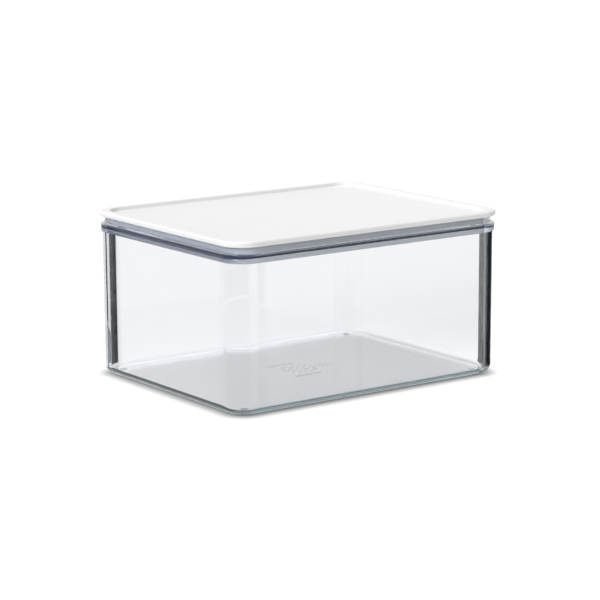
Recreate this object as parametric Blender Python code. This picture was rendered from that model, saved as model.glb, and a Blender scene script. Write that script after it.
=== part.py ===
"""Clear rectangular cheese storage box with a white push-on lid.

The box is one clear moulding: floor, walls, a two-lobed flange, a recessed neck and four small feet. The
lid is one white moulding: a round rim bead that overhangs the neck, a raised rim, a recessed panel, and
a skirt that plugs the mouth. Both are rounded rectangles in plan, with corners that are thicker than the
walls. Each starts as a slab whose upright edges are bevelled, and its top face is then extruded along the
section of the moulding, ring by ring.

Metres, +Z up. The origin is on the table under the middle of the box, and the long side lies along X.
Run with: blender --background --python part.py
"""
import math

import bmesh
import bpy
from mathutils import Matrix, Vector

MM = 0.001

# Plan of the box, over the outer faces of its walls just under the flange
BOX_LENGTH = 230.0 * MM
BOX_WIDTH = 180.5 * MM
CORNER_RADIUS = 16.0 * MM
CORNER_SEGMENTS = 12

# Walls and floor of the box
WALL = 2.8 * MM
INNER_CORNER_RADIUS = 16.5 * MM
WALL_TAPER = 0.25 * MM
FLOOR = 2.4 * MM
BODY_HEIGHT = 104.3 * MM
BASE_ROUND = 6.0 * MM
INNER_ROUND = 3.0 * MM
ROUND_SEGMENTS = 6

# Feet, moulded under the floor
FOOT_HEIGHT = 0.8 * MM
FOOT_RADIUS = 2.4 * MM
FOOT_FLARE = 0.3 * MM
FOOT_INSET = 15.0 * MM
FOOT_OVERLAP = 0.6 * MM
FOOT_SIDES = 24

# Flange, two lobes with a groove between them and a flat ledge on top
FLANGE_REACH = 1.3 * MM
LOWER_LOBE_HEIGHT = 3.6 * MM
UPPER_LOBE_HEIGHT = 2.9 * MM
LOBE_ROUND = 1.0 * MM
GROOVE_DEPTH = 0.35 * MM
LEDGE_ROUND = 0.8 * MM
NECK_FILLET = 0.3 * MM
LOBE_SEGMENTS = 5
FILLET_SEGMENTS = 3

# Neck, and how much of it shows between the flange and the lid
NECK_THICKNESS = 1.2 * MM
NECK_SHOW = 4.5 * MM
NECK_TOP_SEGMENTS = 6

# Lid
LID_GAP = 0.3 * MM
BEAD_THICKNESS = 3.4 * MM
BEAD_HEIGHT = 4.2 * MM
BEAD_UNDER_SEGMENTS = 12
BEAD_OVER_SEGMENTS = 6
CHANNEL_RISE = 0.2 * MM
CREST_COVER = 0.9 * MM
PANEL_DROP = 2.6 * MM
PANEL_SLOPE = 1.4 * MM
SLOPE_SEGMENTS = 5
PANEL_THICKNESS = 1.5 * MM
SKIRT_THICKNESS = 1.5 * MM
SKIRT_DEPTH = 10.8 * MM
SKIRT_LEAD_IN = 0.5 * MM

# Places along the section, measured outwards from the outer face of the walls
INNER_FACE = -WALL
NECK_FACE = INNER_FACE + NECK_THICKNESS
BEAD_RADIUS = BEAD_THICKNESS / 2
BEAD_FALL = BEAD_HEIGHT - BEAD_RADIUS
BEAD_CENTRE = NECK_FACE + LID_GAP + BEAD_RADIUS
SKIRT_OUTER = INNER_FACE - LID_GAP
SKIRT_INNER = SKIRT_OUTER - SKIRT_THICKNESS
CREST_INNER = SKIRT_OUTER - CREST_COVER

# Heights above the table
FLOOR_UNDERSIDE = FOOT_HEIGHT
FLOOR_TOP = FLOOR_UNDERSIDE + FLOOR
GROOVE_Z = BODY_HEIGHT + LOWER_LOBE_HEIGHT
FLANGE_TOP = GROOVE_Z + UPPER_LOBE_HEIGHT
BEAD_Z = FLANGE_TOP + NECK_SHOW + BEAD_FALL
CREST_Z = BEAD_Z + BEAD_RADIUS
CHANNEL_ROOF = BEAD_Z + CHANNEL_RISE
NECK_TOP = CHANNEL_ROOF - LID_GAP
PANEL_TOP = CREST_Z - PANEL_DROP
PANEL_UNDERSIDE = PANEL_TOP - PANEL_THICKNESS
SKIRT_BOTTOM = PANEL_UNDERSIDE - SKIRT_DEPTH


def clear_scene():
    """Removes every object of the scene that the script starts in."""
    for obj in list(bpy.data.objects):
        bpy.data.objects.remove(obj, do_unlink=True)


def new_collection(name):
    """Returns a new collection, linked to the scene."""
    collection = bpy.data.collections.new(name)
    bpy.context.scene.collection.children.link(collection)
    return collection


def new_plastic(name, color, roughness, transmission=0.0, ior=1.5):
    """Returns a plastic made of one Principled BSDF."""
    material = bpy.data.materials.new(name)
    material.use_nodes = True
    shader = material.node_tree.nodes["Principled BSDF"]
    shader.inputs["Base Color"].default_value = (*color, 1.0)
    shader.inputs["Roughness"].default_value = roughness
    shader.inputs["Metallic"].default_value = 0.0
    shader.inputs["Transmission Weight"].default_value = transmission
    shader.inputs["IOR"].default_value = ior
    return material


def arc(centre, radii, start, end, segments):
    """Returns an elliptic arc's points in the section, its angles in degrees from outwards towards up."""
    points = []
    for step in range(segments + 1):
        angle = math.radians(start + (end - start) * step / segments)
        points.append((centre[0] + radii[0] * math.cos(angle), centre[1] + radii[1] * math.sin(angle)))
    return points


def taper(z):
    """Returns how far the tapered wall stands inwards of its top at height z, as a negative offset."""
    return -WALL_TAPER * (BODY_HEIGHT - z) / (BODY_HEIGHT - FLOOR_UNDERSIDE)


def round_outer(points):
    """Adds to (offset, z) points the corner radii that share their centres with the walls' outer corners."""
    return [(offset, z, CORNER_RADIUS + offset) for offset, z in points]


def round_inner(points):
    """Adds to (offset, z) points the corner radii that share their centres with the walls' inner corners."""
    return [(offset, z, INNER_CORNER_RADIUS + offset - INNER_FACE) for offset, z in points]


def round_across(points):
    """Adds to the points over the neck's rim radii that turn from its outer corner into its inner one."""
    rim = []
    for outer, inner in zip(round_outer(points), round_inner(points)):
        share = (NECK_FACE - outer[0]) / NECK_THICKNESS
        rim.append((outer[0], outer[1], outer[2] + (inner[2] - outer[2]) * share))
    return rim


def box_section():
    """Returns the box's section as (offset, z, corner radius), from its underside to the floor inside."""
    base_z = FLOOR_UNDERSIDE + BASE_ROUND
    floor_z = FLOOR_TOP + INNER_ROUND
    lower_lobe_z = GROOVE_Z - LOBE_ROUND
    upper_lobe_z = GROOVE_Z + LOBE_ROUND
    groove = FLANGE_REACH - GROOVE_DEPTH
    neck_round = NECK_THICKNESS / 2

    base = arc((taper(base_z) - BASE_ROUND, base_z), (BASE_ROUND, BASE_ROUND), -90, 0, ROUND_SEGMENTS)
    lobe_under = arc((0, lower_lobe_z), (FLANGE_REACH, lower_lobe_z - BODY_HEIGHT), -90, 0, LOBE_SEGMENTS)
    groove_below = arc((groove, lower_lobe_z), (GROOVE_DEPTH, LOBE_ROUND), 0, 90, LOBE_SEGMENTS)
    groove_above = arc((groove, upper_lobe_z), (GROOVE_DEPTH, LOBE_ROUND), -90, 0, LOBE_SEGMENTS)
    ledge_centre = (FLANGE_REACH - LEDGE_ROUND, FLANGE_TOP - LEDGE_ROUND)
    ledge = arc(ledge_centre, (LEDGE_ROUND, LEDGE_ROUND), 0, 90, LOBE_SEGMENTS)
    fillet_centre = (NECK_FACE + NECK_FILLET, FLANGE_TOP + NECK_FILLET)
    fillet = arc(fillet_centre, (NECK_FILLET, NECK_FILLET), 270, 180, FILLET_SEGMENTS)
    neck_centre = (INNER_FACE + neck_round, NECK_TOP - neck_round)
    neck_top = arc(neck_centre, (neck_round, neck_round), 0, 180, NECK_TOP_SEGMENTS)
    floor_edge = INNER_FACE + taper(floor_z) - INNER_ROUND
    floor = arc((floor_edge, floor_z), (INNER_ROUND, INNER_ROUND), 0, -90, ROUND_SEGMENTS)

    flange = lobe_under + groove_below[1:] + groove_above[1:] + ledge + fillet
    inner_wall_top = [(INNER_FACE, BODY_HEIGHT)]
    return round_outer(base + flange) + round_across(neck_top) + round_inner(inner_wall_top + floor)


def lid_section():
    """Returns the lid's section as (offset, z, corner radius), from its panel's underside to its top."""
    skirt = [
        (SKIRT_INNER, PANEL_UNDERSIDE),
        (SKIRT_INNER, SKIRT_BOTTOM),
        (SKIRT_OUTER - SKIRT_LEAD_IN, SKIRT_BOTTOM),
        (SKIRT_OUTER, SKIRT_BOTTOM + 2 * SKIRT_LEAD_IN),
        (SKIRT_OUTER, CHANNEL_ROOF),
    ]
    channel_edge = [(BEAD_CENTRE - BEAD_RADIUS, CHANNEL_ROOF)]
    bead_under = arc((BEAD_CENTRE, BEAD_Z), (BEAD_RADIUS, BEAD_FALL), 180, 360, BEAD_UNDER_SEGMENTS)
    bead_over = arc((BEAD_CENTRE, BEAD_Z), (BEAD_RADIUS, BEAD_RADIUS), 0, 90, BEAD_OVER_SEGMENTS)
    slope = []
    for step in range(SLOPE_SEGMENTS + 1):
        share = step / SLOPE_SEGMENTS
        fall = (1 - math.cos(math.pi * share)) / 2
        slope.append((CREST_INNER - PANEL_SLOPE * share, CREST_Z - PANEL_DROP * fall))
    bead = bead_under + bead_over[1:]
    return round_inner(skirt) + round_outer(channel_edge + bead) + round_inner(slope)


def corner_centre(place, offset, radius):
    """Returns the centre of the corner arc that a place on a ring belongs to."""
    along = BOX_LENGTH / 2 + offset - radius
    across = BOX_WIDTH / 2 + offset - radius
    return Vector((math.copysign(along, place.x), math.copysign(across, place.y), 0))


def move_ring(verts, start, end):
    """Moves a ring of vertices from one section point to another, along the rays of its corner arcs."""
    for vert in verts:
        ray = (vert.co - corner_centre(vert.co, start[0], start[2])).xy.normalized().to_3d()
        vert.co = corner_centre(vert.co, end[0], end[2]) + ray * end[2]
        vert.co.z = end[1]


def extrude_section(name, section):
    """Returns an object whose surface follows a section round the rounded rectangle of the box.

    The first two points of the section are the two flat faces of a slab with bevelled upright edges. For
    every further point the face on top is extruded, and its ring is moved to that point.
    """
    bm = bmesh.new()
    bmesh.ops.create_cube(bm, size=1)
    bmesh.ops.scale(bm, vec=(BOX_LENGTH, BOX_WIDTH, BODY_HEIGHT), verts=bm.verts)
    upright = [edge for edge in bm.edges if edge.verts[0].co.z * edge.verts[1].co.z < 0]
    bmesh.ops.bevel(
        bm, geom=upright, offset=CORNER_RADIUS, segments=CORNER_SEGMENTS, profile=0.5, affect="EDGES",
    )
    below = min(bm.faces, key=lambda face: face.calc_center_median().z)
    top = max(bm.faces, key=lambda face: face.calc_center_median().z)
    slab = (0, 0, CORNER_RADIUS)
    move_ring(below.verts, slab, section[0])
    move_ring(top.verts, slab, section[1])
    for start, end in zip(section[1:], section[2:]):
        top = bmesh.ops.extrude_discrete_faces(bm, faces=[top])["faces"][0]
        move_ring(top.verts, start, end)
    bmesh.ops.recalc_face_normals(bm, faces=bm.faces)
    mesh = bpy.data.meshes.new(name)
    bm.to_mesh(mesh)
    bm.free()
    return bpy.data.objects.new(name, mesh)


def feet_union():
    """Returns the four feet as one object, each sunk a little way into the floor that it joins."""
    bm = bmesh.new()
    depth = FOOT_HEIGHT + FOOT_OVERLAP
    for side_x in (-1, 1):
        for side_y in (-1, 1):
            place = Matrix.Translation((
                side_x * (BOX_LENGTH / 2 - FOOT_INSET),
                side_y * (BOX_WIDTH / 2 - FOOT_INSET),
                depth / 2,
            ))
            bmesh.ops.create_cone(
                bm, cap_ends=True, segments=FOOT_SIDES, radius1=FOOT_RADIUS, radius2=FOOT_RADIUS + FOOT_FLARE,
                depth=depth, matrix=place,
            )
    mesh = bpy.data.meshes.new("feet_union")
    bm.to_mesh(mesh)
    bm.free()
    feet = bpy.data.objects.new("feet_union", mesh)
    feet.hide_render = True
    feet.display_type = "WIRE"
    return feet


def finish(obj, material, parent, collection):
    """Dresses a piece in its material, shades its round stretches smooth and puts it in place."""
    obj.data.materials.append(material)
    obj.data.shade_smooth()
    obj.data.set_sharp_from_angle(angle=math.radians(35))
    obj.parent = parent
    collection.objects.link(obj)


def build_box_body(parent, collection, cutters):
    """Builds the clear box with its feet."""
    body = extrude_section("box_body", box_section())
    feet = feet_union()
    cutters.objects.link(feet)
    join = body.modifiers.new("feet", "BOOLEAN")
    join.operation = "UNION"
    join.solver = "EXACT"
    join.object = feet
    clear = new_plastic("clear_plastic", (0.93, 0.95, 0.96), 0.03, transmission=1.0, ior=1.57)
    finish(body, clear, parent, collection)
    return body


def build_lid(parent, collection):
    """Builds the lid, with its origin on the axis that it lifts along, at the top of the neck."""
    lid = extrude_section("lid", lid_section())
    lid.data.transform(Matrix.Translation((0, 0, -NECK_TOP)))
    lid.location.z = NECK_TOP
    finish(lid, new_plastic("white_plastic", (0.94, 0.94, 0.94), 0.35), parent, collection)
    return lid


def main():
    """Builds the box and its lid."""
    clear_scene()
    collection = new_collection("cheese_storage_box")
    cutters = new_collection("cutters")
    stand = bpy.data.objects.new("box_origin", None)
    collection.objects.link(stand)
    build_box_body(stand, collection, cutters)
    build_lid(stand, collection)


main()
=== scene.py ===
"""The looks of a clear cheese storage box with a white push-on lid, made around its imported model.

Metres, +Z up. The origin is on the table under the middle of the box, the long side lies along X, and the
long front wall faces -Y. Two mouldings are modelled here, the clear tub and the white lid, and each stands
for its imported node. Both are rounded rectangles in plan. A section line is drawn in edit mode, swept round a
quarter of the plan and mirrored, and the swept skins are then bridged and filled into one closed body.
"""

import logging
import math
from collections.abc import Callable
from dataclasses import dataclass
from enum import Enum

import bmesh
import bpy
from mathutils import Matrix, Vector


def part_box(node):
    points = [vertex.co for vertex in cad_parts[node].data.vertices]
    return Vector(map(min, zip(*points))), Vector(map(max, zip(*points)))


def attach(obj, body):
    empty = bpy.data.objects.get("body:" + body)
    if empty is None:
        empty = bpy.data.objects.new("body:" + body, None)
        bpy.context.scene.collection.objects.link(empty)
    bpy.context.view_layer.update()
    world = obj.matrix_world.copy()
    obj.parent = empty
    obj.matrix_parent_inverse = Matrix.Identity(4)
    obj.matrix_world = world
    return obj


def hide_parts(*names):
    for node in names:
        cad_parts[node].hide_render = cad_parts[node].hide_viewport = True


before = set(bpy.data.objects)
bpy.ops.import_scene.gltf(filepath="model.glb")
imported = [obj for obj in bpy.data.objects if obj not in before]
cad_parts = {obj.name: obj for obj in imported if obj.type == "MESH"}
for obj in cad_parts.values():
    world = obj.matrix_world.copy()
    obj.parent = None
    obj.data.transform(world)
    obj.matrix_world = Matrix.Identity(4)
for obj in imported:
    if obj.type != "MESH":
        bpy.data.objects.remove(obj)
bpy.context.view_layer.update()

LOG = logging.getLogger("cheese_storage_box")
MM = 0.001
NEAR = 0.01 * MM

Point = tuple[float, float]
Place = tuple[float, float, float]
Size = tuple[float, float, float]
Colour = tuple[float, float, float]

BLACK: Colour = (0.0, 0.0, 0.0)
WHITE: Colour = (1.0, 1.0, 1.0)
OUTER_CORNER = 16.0 * MM
INNER_CORNER = 16.5 * MM
QUARTER_TURN = 90
HALF_TURN = 180
BAR_ROUND = 0.45
BAR_STEPS = 5
LESS_THAN_ONE = 0.5


class Body(Enum):
    """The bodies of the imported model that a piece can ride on."""

    BOX = "box"
    LID = "lid"


class Slot(Enum):
    """The material slots of the record."""

    CLEAR = "clear_plastic"
    WHITE = "white_plastic"


class Heading(Enum):
    """Where a section's arc starts from its centre, in degrees from outwards towards up."""

    OUTWARDS = 0
    UP = 90
    INWARDS = 180
    DOWN = -90


class Signal:
    """A shader socket that carries a number. An expression on signals adds the Math nodes that it needs."""

    def __init__(self, graph: "Graph", socket: bpy.types.NodeSocket) -> None:
        """Wraps a socket.

        Args:
            graph: The graph that the socket's node belongs to.
            socket: The output socket.
        """
        self.graph = graph
        self.socket = socket

    def math(self, operation: str, first: "Signal | float", second: "Signal | float") -> "Signal":
        """Adds a Math node.

        Args:
            operation: The node's operation.
            first: A signal or a number.
            second: A signal or a number.

        Returns:
            The node's result.
        """
        node = self.graph.node("ShaderNodeMath", {"operation": operation}, {0: first, 1: second})
        return Signal(self.graph, node.outputs[0])

    def __add__(self, other: "Signal | float") -> "Signal":
        """Adds a signal or a number to this one."""
        return self.math("ADD", self, other)

    def __sub__(self, other: "Signal | float") -> "Signal":
        """Takes a signal or a number from this one."""
        return self.math("SUBTRACT", self, other)

    def __rsub__(self, other: float) -> "Signal":
        """Takes this signal from a number."""
        return self.math("SUBTRACT", other, self)

    def __mul__(self, other: "Signal | float") -> "Signal":
        """Multiplies this signal by a signal or a number."""
        return self.math("MULTIPLY", self, other)

    def __lt__(self, other: "Signal | float") -> "Signal":
        """Gives 1 where this signal is under a signal or a number."""
        return self.math("LESS_THAN", self, other)

    def __abs__(self) -> "Signal":
        """Returns this signal without its sign."""
        return self.math("ABSOLUTE", self, 0.0)

    def root(self) -> "Signal":
        """Returns the square root of this signal."""
        return self.math("SQRT", self, 0.0)

    def clip(self, low: "Signal | float | None" = None, high: "Signal | float | None" = None) -> "Signal":
        """Keeps this signal from going under or over another signal or a number.

        Args:
            low: The least that it may be, if anything.
            high: The most that it may be, if anything.

        Returns:
            The signal within its limits.
        """
        clipped = self if low is None else self.math("MAXIMUM", self, low)
        return clipped if high is None else clipped.math("MINIMUM", clipped, high)

    __radd__ = __add__
    __rmul__ = __mul__


class Graph:
    """The nodes of one material or world. The numbers are those of a Mix node's colour sockets."""

    mix_first = 6
    mix_second = 7
    mix_result = 2

    def __init__(self, tree: bpy.types.NodeTree) -> None:
        """Starts from an empty tree.

        Args:
            tree: The node tree to fill.
        """
        self.tree = tree
        tree.nodes.clear()

    def node(self, kind: str, settings: dict | None = None, sockets: dict | None = None) -> bpy.types.Node:
        """Adds a node.

        Args:
            kind: The node's type.
            settings: Its attributes.
            sockets: Numbers, colours, signals or sockets for its inputs, by name or number.

        Returns:
            The new node.
        """
        node = self.tree.nodes.new(kind)
        for name, value in (settings or {}).items():
            setattr(node, name, value)
        for name, value in (sockets or {}).items():
            if isinstance(value, Signal):
                value = value.socket
            if isinstance(value, bpy.types.NodeSocket):
                self.tree.links.new(value, node.inputs[name])
            elif node.inputs[name].type == "RGBA":
                node.inputs[name].default_value = (*value, 1.0)
            else:
                node.inputs[name].default_value = value
        return node

    def signal(self, node: bpy.types.Node, output: str) -> Signal:
        """Returns an output of a node as a signal."""
        return Signal(self, node.outputs[output])

    def blend(self, factor: Signal | float, first: Colour | bpy.types.NodeSocket,
              second: Colour | bpy.types.NodeSocket) -> bpy.types.NodeSocket:
        """Mixes two colours.

        Args:
            factor: How much of the second colour shows.
            first: A colour or a socket.
            second: A colour or a socket.

        Returns:
            The mixed colour's socket.
        """
        node = self.node("ShaderNodeMix", {"data_type": "RGBA"}, {
            "Factor": factor, self.mix_first: first, self.mix_second: second,
        })
        return node.outputs[self.mix_result]

    def axes(self, vector: bpy.types.NodeSocket) -> tuple[Signal, Signal, Signal]:
        """Splits a vector into its three numbers."""
        parts = self.node("ShaderNodeSeparateXYZ", {}, {0: vector})
        return self.signal(parts, "X"), self.signal(parts, "Y"), self.signal(parts, "Z")

    def noise(self, place: bpy.types.NodeSocket, scale: float, detail: float = 2.0) -> Signal:
        """Makes a noise from 0 to 1.

        Args:
            place: The coordinates that the noise is read at.
            scale: Its waves per metre.
            detail: How many finer layers it has.

        Returns:
            The noise.
        """
        made = self.node("ShaderNodeTexNoise", {}, {"Vector": place, "Scale": scale, "Detail": detail})
        return self.signal(made, "Fac")


class Rays:
    """The kinds of ray that meet a surface, and whether they come fresh from no matt surface, each 0 or 1."""

    def __init__(self, graph: Graph) -> None:
        """Reads what Light Path says.

        Args:
            graph: The graph that the nodes go in.
        """
        path = graph.node("ShaderNodeLightPath")
        self.camera = graph.signal(path, "Is Camera Ray")
        self.clear = graph.signal(path, "Is Transmission Ray")
        self.glossy = graph.signal(path, "Is Glossy Ray")
        self.fresh = graph.signal(path, "Diffuse Depth") < LESS_THAN_ONE


def new_material(name: str) -> tuple[bpy.types.Material, Graph]:
    """Makes a material with an empty graph.

    Args:
        name: The material's name.

    Returns:
        The material and its graph.
    """
    material = bpy.data.materials.new(name)
    material.use_nodes = True
    return material, Graph(material.node_tree)


def pick(shapes: list[bpy.types.Object]) -> None:
    """Selects shapes and nothing else, and makes the first one active.

    Args:
        shapes: The shapes.
    """
    bpy.ops.object.select_all(action="DESELECT")
    for shape in shapes:
        shape.select_set(True)
    bpy.context.view_layer.objects.active = shapes[0]


def join_shapes(name: str, shapes: list[bpy.types.Object]) -> bpy.types.Object:
    """Joins shapes into one object.

    Args:
        name: The object's name.
        shapes: The shapes, which the object takes over.

    Returns:
        The object.
    """
    pick(shapes)
    bpy.ops.object.join()
    shapes[0].name = name
    return shapes[0]


def copy_to(shape: bpy.types.Object, places: list[Place]) -> list[bpy.types.Object]:
    """Copies a shape to places, each copy with its own mesh, and removes the first one.

    Args:
        shape: The shape, modelled round the origin.
        places: Where the copies go.

    Returns:
        The copies.
    """
    copies = []
    for place in places:
        copy = shape.copy()
        copy.data = shape.data.copy()
        copy.data.transform(Matrix.Translation(place))
        bpy.context.collection.objects.link(copy)
        copies.append(copy)
    bpy.data.objects.remove(shape, do_unlink=True)
    return copies


def edit_edges(shape: bpy.types.Object, wanted: Callable[[bmesh.types.BMEdge], bool]) -> None:
    """Opens a shape alone in edit mode, with only the edges selected that pass a test.

    Args:
        shape: The shape.
        wanted: The test.
    """
    pick([shape])
    bpy.ops.object.mode_set(mode="EDIT")
    bpy.ops.mesh.select_mode(type="EDGE")
    bpy.ops.mesh.select_all(action="DESELECT")
    mesh = bmesh.from_edit_mesh(shape.data)
    for edge in mesh.edges:
        if wanted(edge):
            edge.select_set(True)
    bmesh.update_edit_mesh(shape.data)


def is_open_at(edge: bmesh.types.BMEdge, z: float) -> bool:
    """Tells whether an edge lies at a height and has an open side.

    Args:
        edge: The edge.
        z: The height.

    Returns:
        True where both hold.
    """
    return (edge.is_boundary or edge.is_wire) and all(abs(vert.co.z - z) < NEAR for vert in edge.verts)


def rounded_bar(name: str, place: Place, size: Size, angle: float) -> bpy.types.Object:
    """Models a bar with round ends from a cube.

    Args:
        name: Its name.
        place: Its middle.
        size: Its length, width and depth.
        angle: How far it is turned about Z, in radians.

    Returns:
        The bar.
    """
    bpy.ops.object.select_all(action="DESELECT")
    bpy.ops.mesh.primitive_cube_add(size=1, location=place, rotation=(0, 0, angle), scale=size)
    bar = bpy.context.object
    bar.name = name
    bpy.ops.object.transform_apply(location=False, rotation=False, scale=True)
    edit_edges(bar, lambda edge: abs(edge.verts[0].co.z - edge.verts[1].co.z) > NEAR)
    bpy.ops.mesh.bevel(offset=BAR_ROUND * size[1], segments=BAR_STEPS)
    bpy.ops.object.mode_set(mode="OBJECT")
    bpy.ops.object.transform_apply(location=True, rotation=True)
    return bar


@dataclass(frozen=True)
class ClearPlastic:
    """Clear rigid plastic: polished, faintly cool, with the soft flow lines of a moulding and a little haze.

    Painted shade: the neck and flange, a line round the flange's groove, the round of the base, and the feet
    and marks are tinted darker, for the shaded and dark things seen through them. A value that ends in "ends"
    is for the short sides.
    """

    name: str = "clear_plastic_finish"
    tint: Colour = (0.992, 0.992, 0.996)
    haze_tint: Colour = (0.975, 0.976, 0.985)
    ior: float = 1.57
    clear_roughness: float = 0.0
    haze_roughness: float = 0.03
    haze_scale: float = 9.0
    flow_scale: float = 26.0
    flow_detail: float = 1.0
    flow_depth: float = 0.004 * MM
    absorbed_tint: Colour = (0.58, 0.68, 0.72)
    absorption: float = 10.0
    lamp_tint: Colour = (0.89, 0.9, 0.92)
    bounces: float = 3.5
    # Painted shade: a dark violet line round the flange's groove, for the dark seen through the lobes.
    painted_groove_shade: Colour = (0.03, 0.04, 0.09)
    edge_z: float = 108.6 * MM
    edge_half: float = 0.75 * MM
    edge_half_ends: float = 1.5 * MM
    edge_blur: float = 0.25 * MM
    # Painted shade: greyer, cooler tints on the neck and lobes, for the lid's shaded skirt seen through them,
    # darker on the short sides.
    painted_neck_shade: Colour = (0.84, 0.87, 0.92)
    painted_neck_shade_ends: Colour = (0.46, 0.48, 0.56)
    painted_lobe_shade_ends: Colour = (0.31, 0.33, 0.38)
    neck_z: float = 104.4 * MM
    # Painted shade: a dark band on the rounded foot of the walls, for the shaded table refracted through it,
    # darker on the short sides.
    painted_base_shade: Colour = (0.3, 0.42, 0.44)
    painted_base_shade_ends: Colour = (0.015, 0.024, 0.024)
    base_low: float = 1.4 * MM
    base_low_ends: float = 2.4 * MM
    base_high: float = 5.6 * MM
    base_high_ends: float = 6.3 * MM
    base_dip: float = 1.3 * MM
    base_blur: float = 0.5 * MM
    least_reach: float = 10.0 * MM
    # Painted shade: darker tints on the marks and feet under the floor, for the shaded table seen through
    # them.
    painted_mark_shade: Colour = (0.2, 0.2, 0.24)
    mark_z: float = 0.75 * MM
    painted_foot_shade: Colour = (0.008, 0.008, 0.02)
    foot_z: float = 0.5 * MM

    def groove_shade_mask(self, height: Signal, along: Signal) -> Signal:
        """Finds the line round the flange's groove, where a painted dark violet shade stands for the dark seen
        through the lobes.

        Args:
            height: The height over the table.
            along: How far the surface faces along the box, 0 to 1.

        Returns:
            How much of the line shows, 0 to 1.
        """
        reach = along * (self.edge_half_ends - self.edge_half) + self.edge_half
        return ((reach - abs(height - self.edge_z)) * (1 / self.edge_blur)).clip(0.0, 1.0)

    def base_shade_mask(self, height: Signal, along: Signal, across: Signal) -> Signal:
        """Finds the band of painted shade on the rounded foot of the walls, which dips at the corners.

        Args:
            height: The height over the table.
            along: How far the surface faces along the box, 0 to 1.
            across: How far the surface faces across the box, 0 to 1.

        Returns:
            How much of the band shows, 0 to 1.
        """
        # In the middle of a corner, along times across is a half, so twice the dip gives the whole dip there.
        level = height + along * across * (2 * self.base_dip)
        low = along * (self.base_low_ends - self.base_low) + self.base_low
        above_low = ((level - low) * (1 / self.base_blur)).clip(0.0, 1.0)
        high = along * (self.base_high_ends - self.base_high) + self.base_high
        below_high = ((high - level) * (1 / self.base_blur)).clip(0.0, 1.0)
        return above_low * below_high

    def colour(self, graph: Graph, haze: Signal) -> bpy.types.NodeSocket:
        """Lays the plastic's tint over the surface, with the painted shade on the neck, lobes, groove, base,
        feet and marks.

        Args:
            graph: The graph that the nodes go in.
            haze: How hazy the plastic is, 0 to 1.

        Returns:
            The tint's socket.
        """
        coordinates = graph.node("ShaderNodeTexCoord")
        x, y, height = graph.axes(coordinates.outputs["Object"])
        normal_x, normal_y, _ = graph.axes(coordinates.outputs["Normal"])
        along, across = abs(normal_x), abs(normal_y)
        outwards = 1 - (normal_x * x + normal_y * y < self.least_reach)
        clear = graph.blend(haze, self.tint, self.haze_tint)
        # Painted shade on the neck and lobes, darker on the short sides.
        ends = graph.blend(height < self.edge_z, self.painted_neck_shade_ends, self.painted_lobe_shade_ends)
        neck = graph.blend(along, self.painted_neck_shade, ends)
        topped = graph.blend(height < self.neck_z, neck, clear)
        # Painted shade: the dark violet line round the flange's groove.
        lined = graph.blend(self.groove_shade_mask(height, along), topped, self.painted_groove_shade)
        # Painted shade on the round of the base, on its outer faces only.
        base = graph.blend(along, self.painted_base_shade, self.painted_base_shade_ends)
        footed = graph.blend(self.base_shade_mask(height, along, across) * outwards, lined, base)
        # Painted shade on the marks and the feet.
        marked = graph.blend(height < self.mark_z, footed, self.painted_mark_shade)
        return graph.blend(height < self.foot_z, marked, self.painted_foot_shade)

    def build(self) -> bpy.types.Material:
        """Makes the finish. Lamps shine straight through it, and a ray that is caught in it leaves unbent.

        Returns:
            The material.
        """
        material, graph = new_material(self.name)
        place = graph.node("ShaderNodeTexCoord").outputs["Object"]
        haze = graph.noise(place, self.haze_scale)
        flow = graph.noise(place, self.flow_scale, self.flow_detail)
        bump = graph.node("ShaderNodeBump", {}, {
            "Strength": 1.0, "Distance": self.flow_depth, "Height": flow,
        })
        glass = graph.node("ShaderNodeBsdfPrincipled", {}, {
            "Base Color": self.colour(graph, haze),
            "Roughness": haze * (self.haze_roughness - self.clear_roughness) + self.clear_roughness,
            "IOR": self.ior,
            "Transmission Weight": 1.0,
            "Normal": bump.outputs["Normal"],
        })
        path = graph.node("ShaderNodeLightPath")
        caught = 1 - (graph.signal(path, "Glossy Depth") < self.bounces)
        leaves = graph.node("ShaderNodeBsdfTransparent", {}, {"Color": self.tint})
        clear = graph.node("ShaderNodeMixShader", {}, {
            0: caught, 1: glass.outputs[0], 2: leaves.outputs[0],
        })
        lamps_pass = graph.node("ShaderNodeBsdfTransparent", {}, {"Color": self.lamp_tint})
        mixed = graph.node("ShaderNodeMixShader", {}, {
            0: path.outputs["Is Shadow Ray"], 1: clear.outputs[0], 2: lamps_pass.outputs[0],
        })
        inside = graph.node("ShaderNodeVolumeAbsorption", {}, {
            "Color": self.absorbed_tint, "Density": self.absorption,
        })
        graph.node("ShaderNodeOutputMaterial", {}, {
            "Surface": mixed.outputs[0], "Volume": inside.outputs[0],
        })
        return material


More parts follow.
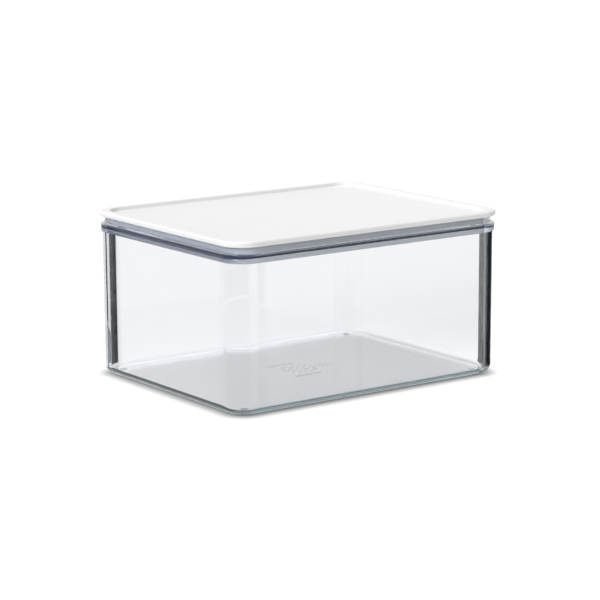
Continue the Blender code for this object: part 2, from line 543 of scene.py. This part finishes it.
@dataclass(frozen=True)
class WhitePlastic:
    """White satin plastic: a fine moulded grain, faint clouds, and rubbed places that shine a little more."""

    name: str = "white_plastic_finish"
    colour: Colour = (0.885, 0.885, 0.88)
    cloudy: Colour = (0.865, 0.867, 0.865)
    cloud_scale: float = 14.0
    rough_low: float = 0.3
    rough_high: float = 0.42
    rub_scale: float = 22.0
    grain_scale: float = 2600.0
    grain_depth: float = 0.01 * MM
    grain_strength: float = 0.6
    ior: float = 1.49

    def build(self) -> bpy.types.Material:
        """Makes the finish.

        Returns:
            The material.
        """
        material, graph = new_material(self.name)
        place = graph.node("ShaderNodeTexCoord").outputs["Object"]
        cloud = graph.noise(place, self.cloud_scale)
        rub = graph.noise(place, self.rub_scale)
        grain = graph.noise(place, self.grain_scale)
        bump = graph.node("ShaderNodeBump", {}, {
            "Strength": self.grain_strength, "Distance": self.grain_depth, "Height": grain,
        })
        plastic = graph.node("ShaderNodeBsdfPrincipled", {}, {
            "Base Color": graph.blend(cloud, self.colour, self.cloudy),
            "Roughness": rub * (self.rough_high - self.rough_low) + self.rough_low,
            "IOR": self.ior,
            "Normal": bump.outputs["Normal"],
        })
        graph.node("ShaderNodeOutputMaterial", {}, {"Surface": plastic.outputs[0]})
        return material


@dataclass(frozen=True)
class Plan:
    """A rounded rectangle seen from above, at offset zero of the sections that are swept round it."""

    length: float
    width: float
    radius: float

    @property
    def along(self) -> float:
        """How far the corners' centres lie from the middle along X."""
        return self.length / 2 - self.radius

    @property
    def across(self) -> float:
        """How far the corners' centres lie from the middle along Y."""
        return self.width / 2 - self.radius

    def with_corner(self, radius: float, offset: float) -> "Plan":
        """Changes the corners, to a radius that is measured at an offset.

        Args:
            radius: The corner's radius there.
            offset: How far outside offset zero it is measured.

        Returns:
            The same rectangle with those corners.
        """
        return Plan(self.length, self.width, radius - offset)


class SectionLine:
    """An open line of a moulding's section, drawn in edit mode and swept round a plan into a skin."""

    corner_steps = 32

    def __init__(self, name: str, plan: Plan, start: Point) -> None:
        """Puts down the first point, over the middle of the end wall.

        Args:
            name: The skin's name.
            plan: The plan that it is swept round.
            start: The first point as (offset, z).
        """
        self.plan = plan
        self.tip = start
        bpy.ops.object.select_all(action="DESELECT")
        bpy.ops.mesh.primitive_plane_add(size=MM)
        self.skin = bpy.context.object
        self.skin.name = name
        bpy.ops.object.mode_set(mode="EDIT")
        bpy.ops.mesh.select_mode(type="VERT")
        bpy.ops.mesh.select_all(action="SELECT")
        bpy.ops.mesh.merge(type="CENTER")
        bpy.ops.transform.translate(value=(plan.length / 2 + start[0], 0, start[1]))

    def to(self, offset: float, z: float) -> None:
        """Extrudes the last point to a new one.

        Args:
            offset: How far it lies outside the plan.
            z: Its height.
        """
        move = (offset - self.tip[0], 0, z - self.tip[1])
        bpy.ops.mesh.extrude_region_move(TRANSFORM_OT_translate={"value": move})
        self.tip = (offset, z)

    def arc(self, radii: Point, start: Heading, turn: float, steps: int) -> None:
        """Extrudes the last point along an elliptic arc that starts where it lies.

        Args:
            radii: The arc's radii outwards and upwards.
            start: Where the point lies from the arc's centre.
            turn: How far it turns, in degrees from outwards towards up.
            steps: How many edges it has.
        """
        first = math.radians(start.value)
        centre = (self.tip[0] - radii[0] * math.cos(first), self.tip[1] - radii[1] * math.sin(first))
        for step in range(1, steps + 1):
            angle = math.radians(start.value + turn * step / steps)
            self.to(centre[0] + radii[0] * math.cos(angle), centre[1] + radii[1] * math.sin(angle))

    def sweep(self) -> bpy.types.Object:
        """Sweeps the line along half an end wall, round a corner and along half a side wall.

        Returns:
            A quarter of the skin, open all round.
        """
        plan = self.plan
        bpy.ops.mesh.select_all(action="SELECT")
        bpy.ops.mesh.extrude_region_move(TRANSFORM_OT_translate={"value": (0, plan.across, 0)})
        bpy.ops.mesh.spin(
            steps=self.corner_steps, angle=math.radians(QUARTER_TURN),
            center=(plan.along, plan.across, 0), axis=(0, 0, -1),
        )
        bpy.ops.mesh.extrude_region_move(TRANSFORM_OT_translate={"value": (-plan.along, 0, 0)})
        bpy.ops.object.mode_set(mode="OBJECT")
        return self.skin


class Moulding:
    """A closed moulded body that grows from swept skins, bridged, mirrored, filled and welded."""

    def __init__(self, name: str, skins: list[bpy.types.Object], seams: list[float]) -> None:
        """Joins quarter skins, bridges the seams between them and mirrors the result twice.

        Args:
            name: The piece's name.
            skins: The skins, which the piece takes over.
            seams: The heights at which the ends of two skins are bridged.
        """
        self.piece = join_shapes(name, skins)
        for seam in seams:
            edit_edges(self.piece, lambda edge: is_open_at(edge, seam))
            bpy.ops.mesh.bridge_edge_loops()
            bpy.ops.object.mode_set(mode="OBJECT")
        mirror = self.piece.modifiers.new("quarters", "MIRROR")
        mirror.use_axis = (True, True, False)
        mirror.merge_threshold = NEAR
        bpy.ops.object.modifier_apply(modifier=mirror.name)

    def cap(self, z: float) -> None:
        """Fills the open loop at a height with one flat face.

        Args:
            z: The height.
        """
        edit_edges(self.piece, lambda edge: is_open_at(edge, z))
        bpy.ops.mesh.edge_face_add()
        bpy.ops.object.mode_set(mode="OBJECT")

    def face_outwards(self) -> None:
        """Turns the faces of the closed body outwards."""
        pick([self.piece])
        bpy.ops.object.mode_set(mode="EDIT")
        bpy.ops.mesh.select_all(action="SELECT")
        bpy.ops.mesh.normals_make_consistent(inside=False)
        if bmesh.from_edit_mesh(self.piece.data).calc_volume(signed=True) < 0:
            bpy.ops.mesh.flip_normals()
        bpy.ops.object.mode_set(mode="OBJECT")

    def weld(self, other: bpy.types.Object, operation: str = "UNION") -> None:
        """Unites the body with another closed shape, or takes that shape away from it.

        Args:
            other: The other shape, which is removed.
            operation: How the two are combined.
        """
        pick([self.piece])
        modifier = self.piece.modifiers.new("weld", "BOOLEAN")
        modifier.operation = operation
        modifier.solver = "MANIFOLD"
        modifier.object = other
        bpy.ops.object.modifier_apply(modifier=modifier.name)
        bpy.data.objects.remove(other, do_unlink=True)

    def dress(self, material: bpy.types.Material, sharp_angle: float) -> bpy.types.Object:
        """Shades the body smooth with true flats, and gives it its finish.

        Args:
            material: Its material.
            sharp_angle: The angle in degrees from which an edge stays sharp.

        Returns:
            The finished piece.
        """
        pick([self.piece])
        bpy.ops.object.shade_smooth_by_angle(angle=math.radians(sharp_angle))
        flats = self.piece.modifiers.new("flats", "WEIGHTED_NORMAL")
        flats.keep_sharp = True
        bpy.ops.object.modifier_apply(modifier=flats.name)
        self.piece.data.materials.clear()
        self.piece.data.materials.append(material)
        return self.piece


@dataclass
class ClearTub:
    """The clear box: floor, walls, two-lobed flange, neck, four feet and small moulded marks under the floor.

    The plans hold at the top of the walls. Offsets are measured from the outer plan, and both the outside and
    the inside lean in towards the floor. The steps are the edges that each round of the section has.
    """

    outer: Plan
    inner: Plan
    rim_z: float
    wall: float = 2.8 * MM
    wall_taper: float = 0.25 * MM
    floor: float = 2.4 * MM
    body_height: float = 104.3 * MM
    base_round: float = 6.0 * MM
    base_steps: int = 10
    inner_round: float = 3.0 * MM
    inner_steps: int = 8
    flat_margin: float = 1.5 * MM
    flange_reach: float = 1.3 * MM
    lower_lobe: float = 3.6 * MM
    upper_lobe: float = 2.9 * MM
    lobe_round: float = 1.0 * MM
    lobe_steps: int = 10
    groove_depth: float = 0.35 * MM
    groove_steps: int = 8
    ledge_round: float = 0.8 * MM
    ledge_steps: int = 8
    neck: float = 1.2 * MM
    neck_fillet: float = 0.3 * MM
    fillet_steps: int = 4
    rim_flat: float = 0.2 * MM
    rim_steps: int = 5
    foot_height: float = 0.8 * MM
    foot_radius: float = 2.4 * MM
    foot_flare: float = 0.3 * MM
    foot_inset: float = 15.0 * MM
    foot_overlap: float = 0.6 * MM
    foot_sides: int = 40
    foot_edge_steps: int = 4
    mark_height: float = 0.25 * MM
    mark_overlap: float = 0.2 * MM
    dials: tuple[tuple[float, int], ...] = ((12.0 * MM, 16), (6.0 * MM, 8))
    tick: Point = (3.6 * MM, 0.9 * MM)
    dot: Point = (1.8 * MM, 1.8 * MM)
    dot_pitch: float = 4.2 * MM
    dot_columns: tuple[int, ...] = (0, 1, 2)
    dot_rows: tuple[int, ...] = (-1, 0, 1)
    dots_from: float = 18.0 * MM
    bar: Point = (24.0 * MM, 1.8 * MM)
    bar_place: Point = (-4.8 * MM, 18.0 * MM)
    sharp_angle: float = 32.0

    @property
    def rim_round(self) -> float:
        """The radius of the two roundings of the neck's rim."""
        return (self.neck - self.rim_flat) / 2

    def lean(self, z: float) -> float:
        """Works out how far the tapered wall stands in at a height.

        Args:
            z: The height.

        Returns:
            The distance as a negative offset.
        """
        return -self.wall_taper * (self.body_height - z) / (self.body_height - self.foot_height)

    def outer_skin(self) -> bpy.types.Object:
        """Sweeps the outside, from the edge of the underside up to the top of the rim.

        Returns:
            A quarter of the skin.
        """
        base_z = self.foot_height + self.base_round
        base_edge = self.lean(base_z) - self.base_round
        ledge_z = self.body_height + self.lower_lobe + self.upper_lobe
        neck_face = self.neck - self.wall
        groove = (self.groove_depth, self.lobe_round)
        line = SectionLine("outer_skin", self.outer, (base_edge - self.flat_margin, self.foot_height))
        line.to(base_edge, self.foot_height)
        line.arc((self.base_round, self.base_round), Heading.DOWN, QUARTER_TURN, self.base_steps)
        line.to(0, self.body_height)
        lobe = (self.flange_reach, self.lower_lobe - self.lobe_round)
        line.arc(lobe, Heading.DOWN, QUARTER_TURN, self.lobe_steps)
        line.arc(groove, Heading.OUTWARDS, QUARTER_TURN, self.groove_steps)
        line.arc(groove, Heading.DOWN, QUARTER_TURN, self.groove_steps)
        line.to(self.flange_reach, ledge_z - self.ledge_round)
        line.arc((self.ledge_round, self.ledge_round), Heading.OUTWARDS, QUARTER_TURN, self.ledge_steps)
        line.to(neck_face + self.neck_fillet, ledge_z)
        line.arc((self.neck_fillet, self.neck_fillet), Heading.DOWN, -QUARTER_TURN, self.fillet_steps)
        line.to(neck_face, self.rim_z - self.rim_round)
        line.arc((self.rim_round, self.rim_round), Heading.OUTWARDS, QUARTER_TURN, self.rim_steps)
        return line.sweep()

    def inner_skin(self) -> bpy.types.Object:
        """Sweeps the inside, from the top of the rim down to the edge of the floor.

        Returns:
            A quarter of the skin.
        """
        face = -self.wall
        floor_top = self.foot_height + self.floor
        curve_z = floor_top + self.inner_round
        line = SectionLine("inner_skin", self.inner, (face + self.rim_round, self.rim_z))
        line.arc((self.rim_round, self.rim_round), Heading.UP, QUARTER_TURN, self.rim_steps)
        line.to(face, self.body_height)
        line.to(face + self.lean(curve_z), curve_z)
        line.arc((self.inner_round, self.inner_round), Heading.OUTWARDS, -QUARTER_TURN, self.inner_steps)
        line.to(face + self.lean(curve_z) - self.inner_round - self.flat_margin, floor_top)
        return line.sweep()

    def feet(self) -> bpy.types.Object:
        """Models one foot, rounds its lower edge, and copies it to the four corners.

        Returns:
            The four feet as one object.
        """
        depth = self.foot_height + self.foot_overlap
        bpy.ops.object.select_all(action="DESELECT")
        bpy.ops.mesh.primitive_cone_add(
            vertices=self.foot_sides, radius1=self.foot_radius, radius2=self.foot_radius + self.foot_flare,
            depth=depth, location=(0, 0, depth / 2),
        )
        foot = bpy.context.object
        foot.name = "foot"
        bpy.ops.object.transform_apply(location=True)
        edit_edges(foot, lambda edge: all(vert.co.z < NEAR for vert in edge.verts))
        bpy.ops.mesh.bevel(offset=self.foot_flare, segments=self.foot_edge_steps)
        bpy.ops.object.mode_set(mode="OBJECT")
        along = self.outer.length / 2 - self.foot_inset
        across = self.outer.width / 2 - self.foot_inset
        copies = copy_to(foot, [(x * along, y * across, 0) for x in (-1, 1) for y in (-1, 1)])
        return join_shapes("feet", copies)

    def marks(self) -> bpy.types.Object:
        """Models the shallow marks under the middle of the floor: two rings of ticks, nine dots and two bars.

        Returns:
            The marks as one object of separate closed shapes.
        """
        depth = self.mark_height + self.mark_overlap
        centre_z = self.foot_height + self.mark_overlap - depth / 2
        shapes = []
        for radius, count in self.dials:
            for index in range(count):
                angle = math.pi * (2 * index + 1) / count
                place = (radius * math.cos(angle), radius * math.sin(angle), centre_z)
                shapes.append(rounded_bar("tick", place, (*self.tick, depth), angle))
        for column in self.dot_columns:
            for row in self.dot_rows:
                place = (self.dots_from + column * self.dot_pitch, row * self.dot_pitch, centre_z)
                shapes.append(rounded_bar("dot", place, (*self.dot, depth), 0))
        for side in (-1, 1):
            place = (self.bar_place[0], side * self.bar_place[1], centre_z)
            shapes.append(rounded_bar("bar", place, (*self.bar, depth), 0))
        return join_shapes("marks", shapes)

    def build(self, finish: ClearPlastic) -> bpy.types.Object:
        """Builds the tub.

        Args:
            finish: Its finish.

        Returns:
            The finished piece.
        """
        body = Moulding("clear_tub", [self.outer_skin(), self.inner_skin()], [self.rim_z])
        body.cap(self.foot_height)
        body.cap(self.foot_height + self.floor)
        body.face_outwards()
        body.weld(self.feet())
        body.weld(self.marks())
        piece = body.dress(finish.build(), self.sharp_angle)
        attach(piece, Body.BOX.value)
        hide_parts("box_body")
        return piece


@dataclass
class WhiteLid:
    """The lid: a full-round bead that overhangs the neck, a raised rim, a recessed panel and a plug skirt."""

    tub: ClearTub
    crest_z: float
    gap: float = 0.3 * MM
    bead: float = 3.4 * MM
    bead_height: float = 4.2 * MM
    bead_steps: int = 20
    crest_steps: int = 10
    crest_cover: float = 0.9 * MM
    panel_drop: float = 2.6 * MM
    panel_slope: float = 1.4 * MM
    slope_steps: int = 10
    panel: float = 1.5 * MM
    skirt: float = 1.5 * MM
    skirt_depth: float = 10.8 * MM
    lead_in: Point = (0.5 * MM, 1.0 * MM)
    lead_in_steps: int = 5
    lip_round: float = 0.25 * MM
    lip_steps: int = 3
    gate_radius: float = 2.2 * MM
    gate_depth: float = 0.25 * MM
    gate_segments: int = 32
    gate_rings: int = 16
    sharp_angle: float = 40.0

    @property
    def panel_z(self) -> float:
        """The height of the panel's top."""
        return self.crest_z - self.panel_drop

    @property
    def roof_z(self) -> float:
        """The height of the channel's roof, over the neck's rim."""
        return self.tub.rim_z + self.gap

    @property
    def bead_inner(self) -> float:
        """The offset of the bead's inside, which goes down outside the neck."""
        return self.tub.neck - self.tub.wall + self.gap

    @property
    def skirt_outer(self) -> float:
        """The offset of the skirt's outside, which goes down inside the neck."""
        return -self.tub.wall - self.gap

    def bead_skin(self) -> bpy.types.Object:
        """Sweeps the bead, from the channel's roof down, round its outside and up to the crest.

        Returns:
            A quarter of the skin.
        """
        radius = self.bead / 2
        line = SectionLine("bead_skin", self.tub.outer, (self.bead_inner, self.roof_z))
        line.to(self.bead_inner, self.crest_z - radius)
        line.arc((radius, self.bead_height - radius), Heading.INWARDS, HALF_TURN, self.bead_steps)
        line.arc((radius, radius), Heading.OUTWARDS, QUARTER_TURN, self.crest_steps)
        return line.sweep()

    def top_skin(self) -> bpy.types.Object:
        """Sweeps the slope from the crest down to the panel's edge.

        Returns:
            A quarter of the skin.
        """
        crest_inner = self.skirt_outer - self.crest_cover
        line = SectionLine("top_skin", self.tub.inner, (crest_inner, self.crest_z))
        for step in range(1, self.slope_steps + 1):
            share = step / self.slope_steps
            fall = (1 - math.cos(math.pi * share)) / 2
            line.to(crest_inner - self.panel_slope * share, self.crest_z - self.panel_drop * fall)
        return line.sweep()

    def under_skin(self) -> bpy.types.Object:
        """Sweeps the skirt, from the channel's roof down, round its lip and up to the panel's underside.

        Returns:
            A quarter of the skin.
        """
        skirt_inner = self.skirt_outer - self.skirt
        under_z = self.panel_z - self.panel
        bottom = under_z - self.skirt_depth
        line = SectionLine("under_skin", self.tub.inner, (self.skirt_outer, self.roof_z))
        line.to(self.skirt_outer, bottom + self.lead_in[1])
        line.arc(self.lead_in, Heading.OUTWARDS, -QUARTER_TURN, self.lead_in_steps)
        line.to(skirt_inner + self.lip_round, bottom)
        line.arc((self.lip_round, self.lip_round), Heading.DOWN, -QUARTER_TURN, self.lip_steps)
        line.to(skirt_inner, under_z)
        return line.sweep()

    def gate(self) -> bpy.types.Object:
        """Models the dish that the mould's gate leaves in the middle of the panel, as a flattened ball.

        Returns:
            The ball.
        """
        bpy.ops.object.select_all(action="DESELECT")
        bpy.ops.mesh.primitive_uv_sphere_add(
            segments=self.gate_segments, ring_count=self.gate_rings, radius=self.gate_radius,
            location=(0, 0, self.panel_z), scale=(1, 1, self.gate_depth / self.gate_radius),
        )
        ball = bpy.context.object
        ball.name = "gate"
        bpy.ops.object.transform_apply(location=True, rotation=False, scale=True)
        return ball

    def build(self, finish: WhitePlastic) -> bpy.types.Object:
        """Builds the lid.

        Args:
            finish: Its finish.

        Returns:
            The finished piece.
        """
        skins = [self.bead_skin(), self.top_skin(), self.under_skin()]
        body = Moulding("white_lid", skins, [self.crest_z, self.roof_z])
        body.cap(self.panel_z)
        body.cap(self.panel_z - self.panel)
        body.face_outwards()
        body.weld(self.gate(), "DIFFERENCE")
        piece = body.dress(finish.build(), self.sharp_angle)
        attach(piece, Body.LID.value)
        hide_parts("lid")
        return piece


@dataclass(frozen=True)
class Strip:
    """A black strip that stands on the floor beside a corner, given by the two ends of its foot."""

    name: str
    start: Point
    end: Point


@dataclass(frozen=True)
class Lamp:
    """A soft lamp far away: its strength, how wide it looks in degrees, and the direction that it lies in."""

    name: str
    energy: float
    spread: float
    place: Place


@dataclass(frozen=True)
class Studio:
    """The pale floor, the white surround, two soft lamps, and four black strips that edge the clear corners.

    Shares say how much of the floor's glow takes the place of its matt colour: "seen" for the camera, and
    "through" and "line" for what shows through clear plastic. The glow holds painted shadow: for the camera it
    fades out near and under the walls' outline, through clear plastic it is left out under the box, and a
    painted dark line lies along the edge of the walls' foot.
    """

    floor_size: float = 12.0
    floor_colour: Colour = (0.93, 0.93, 0.93)
    floor_glow: float = 1.15
    floor_drop: float = 0.05 * MM
    # Painted shadow: for the camera the glow fades to black from shade_end outside the walls' outline to
    # shade_start under them.
    seen_share: float = 0.92
    shade_start: float = -12.0 * MM
    shade_end: float = 10.0 * MM
    # Painted shadow through clear plastic: no glow under the box past through_edge, and a dark line round
    # through_edge.
    through_share: float = 0.25
    through_edge: float = -9.0 * MM
    through_fade: float = 1.2 * MM
    line_share: float = 0.4
    line_half: float = 3.5 * MM
    ambient: float = 0.2
    surround: float = 1.0
    lamps: tuple[Lamp, ...] = (
        Lamp("top_lamp", 1.9, 16.0, (0.0, 0.08, 1.0)),
        Lamp("side_lamp", 1.7, 30.0, (-0.9, -0.33, 0.3)),
    )
    strips: tuple[Strip, ...] = (
        Strip("left_strip", (-109.1 * MM, 96.3 * MM), (-88.6 * MM, 105.8 * MM)),
        Strip("left_strip_outer", (-134.3 * MM, 91.6 * MM), (-112.7 * MM, 117.0 * MM)),
        Strip("right_strip", (120.7 * MM, -97.8 * MM), (133.6 * MM, -59.8 * MM)),
        Strip("right_strip_outer", (122.7 * MM, -68.1 * MM), (130.0 * MM, -48.5 * MM)),
    )
    strip_colour: Colour = (0.012, 0.014, 0.017)
    strip_height: float = 103.5 * MM

    def away_from(self, graph: Graph, plan: Plan) -> Signal:
        """Works out how far a place on the floor lies outside the outline of the walls.

        Args:
            graph: The graph that the nodes go in.
            plan: The outline of the walls.

        Returns:
            The distance, negative under the box.
        """
        x, y, _ = graph.axes(graph.node("ShaderNodeTexCoord").outputs["Object"])
        past_x = abs(x) - plan.along
        past_y = abs(y) - plan.across
        round_x, round_y = past_x.clip(0.0), past_y.clip(0.0)
        outside = (round_x * round_x + round_y * round_y).root()
        within = past_x.clip(past_y, 0.0)
        return outside + within - plan.radius

    def build_floor(self, plan: Plan) -> None:
        """Makes the floor, white where it lies open, with painted shadow laid under and beside the box over
        its real shadow.

        Args:
            plan: The outline of the walls that stand over it.
        """
        bpy.ops.object.select_all(action="DESELECT")
        bpy.ops.mesh.primitive_plane_add(size=self.floor_size, location=(0, 0, -self.floor_drop))
        floor = bpy.context.object
        floor.name = "studio_floor"
        material, graph = new_material("studio_floor_finish")
        away = self.away_from(graph, plan)
        rays = Rays(graph)
        # Painted shadow: the camera's glow fades to black towards and under the walls' outline.
        ramp = graph.node("ShaderNodeMapRange", {"interpolation_type": "SMOOTHSTEP"}, {
            "Value": away, "From Min": self.shade_start, "From Max": self.shade_end,
        })
        painted_shadow_ramp = graph.signal(ramp, "Result")
        # Painted shadow through clear plastic: the glow is left out under the box, and a dark line is painted
        # round through_edge.
        past_edge = away - self.through_edge
        open_air = (past_edge * (1 / self.through_fade)).clip(0.0, 1.0)
        line = (1 - abs(past_edge) * (1 / self.line_half)).clip(0.0, 1.0)
        tone = graph.blend(rays.camera * painted_shadow_ramp + rays.clear * (1 - line), BLACK, WHITE)
        through = rays.clear * (open_air * self.through_share + line * self.line_share)
        shown = (rays.camera * self.seen_share + through) * rays.fresh
        matt = graph.node("ShaderNodeBsdfDiffuse", {}, {"Color": self.floor_colour})
        glow = graph.node("ShaderNodeEmission", {}, {"Color": tone, "Strength": self.floor_glow})
        mixed = graph.node("ShaderNodeMixShader", {}, {0: shown, 1: matt.outputs[0], 2: glow.outputs[0]})
        graph.node("ShaderNodeOutputMaterial", {}, {"Surface": mixed.outputs[0]})
        material.cycles.emission_sampling = "NONE"
        floor.data.materials.append(material)

    def build_surround(self) -> None:
        """Makes the world: white to the eye and in gloss and clear plastic, and a soft fill on the object."""
        world = bpy.data.worlds.new("studio_surround")
        world.use_nodes = True
        bpy.context.scene.world = world
        graph = Graph(world.node_tree)
        rays = Rays(graph)
        shown = (rays.camera + rays.clear + rays.glossy * (1 - rays.clear)) * rays.fresh
        lost = rays.clear * (1 - rays.fresh)
        strength = (shown * (self.surround - self.ambient) + self.ambient) * (1 - lost)
        sky = graph.node("ShaderNodeBackground", {}, {"Color": WHITE, "Strength": strength})
        graph.node("ShaderNodeOutputWorld", {}, {"Surface": sky.outputs[0]})

    def build_strip(self, spot: Strip) -> None:
        """Stands a black strip on the floor, seen only in gloss and through clear plastic.

        Args:
            spot: Its name and its place.
        """
        bpy.ops.object.select_all(action="DESELECT")
        foot = Vector(spot.end) - Vector(spot.start)
        middle = (Vector(spot.start) + Vector(spot.end)) / 2
        bpy.ops.mesh.primitive_plane_add(
            size=1, location=(middle.x, middle.y, self.strip_height / 2),
            rotation=(math.radians(QUARTER_TURN), 0, math.atan2(foot.y, foot.x)),
        )
        strip = bpy.context.object
        strip.name = spot.name
        strip.scale = (foot.length, self.strip_height, 1)
        bpy.ops.object.transform_apply(location=True, rotation=True, scale=True)
        material, graph = new_material(spot.name + "_finish")
        glow = graph.node("ShaderNodeEmission", {}, {"Color": self.strip_colour, "Strength": 1.0})
        graph.node("ShaderNodeOutputMaterial", {}, {"Surface": glow.outputs[0]})
        strip.data.materials.append(material)
        strip.visible_camera = False
        strip.visible_diffuse = False
        strip.visible_shadow = False

    def build_lamp(self, kind: Lamp) -> None:
        """Adds a soft lamp that clear plastic doesn't show.

        Args:
            kind: Its name, strength, width and direction.
        """
        lamp = bpy.data.lights.new(kind.name, "SUN")
        lamp.angle = math.radians(kind.spread)
        lamp.energy = kind.energy
        holder = bpy.data.objects.new(kind.name, lamp)
        holder.rotation_euler = Vector(kind.place).to_track_quat("Z", "Y").to_euler()
        holder.visible_transmission = False
        bpy.context.collection.objects.link(holder)

    def build(self, plan: Plan) -> None:
        """Builds the whole studio.

        Args:
            plan: The outline of the walls that stand over the floor.
        """
        self.build_floor(plan)
        self.build_surround()
        for spot in self.strips:
            self.build_strip(spot)
        for kind in self.lamps:
            self.build_lamp(kind)


@dataclass(frozen=True)
class Viewpoint:
    """The photograph's camera: a long lens that stands off the front left corner and looks a little down."""

    azimuth: float = -35.89
    elevation: float = 11.21
    distance: float = 1.6708
    target_z: float = 57.3 * MM
    lens: float = 139.0
    sensor: float = 36.0
    pan_right: float = 1.69 * MM
    pan_down: float = 3.98 * MM
    roll: float = -0.24

    def build(self) -> None:
        """Makes the camera and gives it to the scene."""
        turn, rise = math.radians(self.azimuth), math.radians(self.elevation)
        back = Vector((math.sin(turn) * math.cos(rise), -math.cos(turn) * math.cos(rise), math.sin(rise)))
        right = Vector((math.cos(turn), math.sin(turn), 0))
        up = back.cross(right)
        target = Vector((0, 0, self.target_z))
        place = target + back * self.distance
        aim = target + right * self.pan_right - up * self.pan_down
        camera = bpy.data.cameras.new("photo_camera")
        camera.lens = self.lens
        camera.sensor_width = self.sensor
        holder = bpy.data.objects.new("photo_camera", camera)
        look = (aim - place).to_track_quat("-Z", "Y").to_matrix().to_4x4()
        roll = Matrix.Rotation(math.radians(self.roll), 4, "Z")
        holder.matrix_world = Matrix.Translation(place) @ look @ roll
        bpy.context.collection.objects.link(holder)
        bpy.context.scene.camera = holder


def main() -> None:
    """Builds the camera, the studio and the two mouldings."""
    logging.basicConfig(level=logging.INFO, format="%(name)s: %(message)s")
    bpy.context.scene.view_settings.view_transform = "Standard"
    Viewpoint().build()

    tub_low, tub_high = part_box("box_body")
    lid_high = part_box("lid")[1]
    reach = ClearTub.flange_reach
    outer = Plan(tub_high.x - tub_low.x - 2 * reach, tub_high.y - tub_low.y - 2 * reach, OUTER_CORNER)
    inner = outer.with_corner(INNER_CORNER, -ClearTub.wall)
    Studio().build(outer)

    tub = ClearTub(outer, inner, tub_high.z)
    lid = WhiteLid(tub, lid_high.z)
    for piece in (tub.build(ClearPlastic()), lid.build(WhitePlastic())):
        LOG.info("%s has %d faces", piece.name, len(piece.data.polygons))


if __name__ == "__main__":
    main()
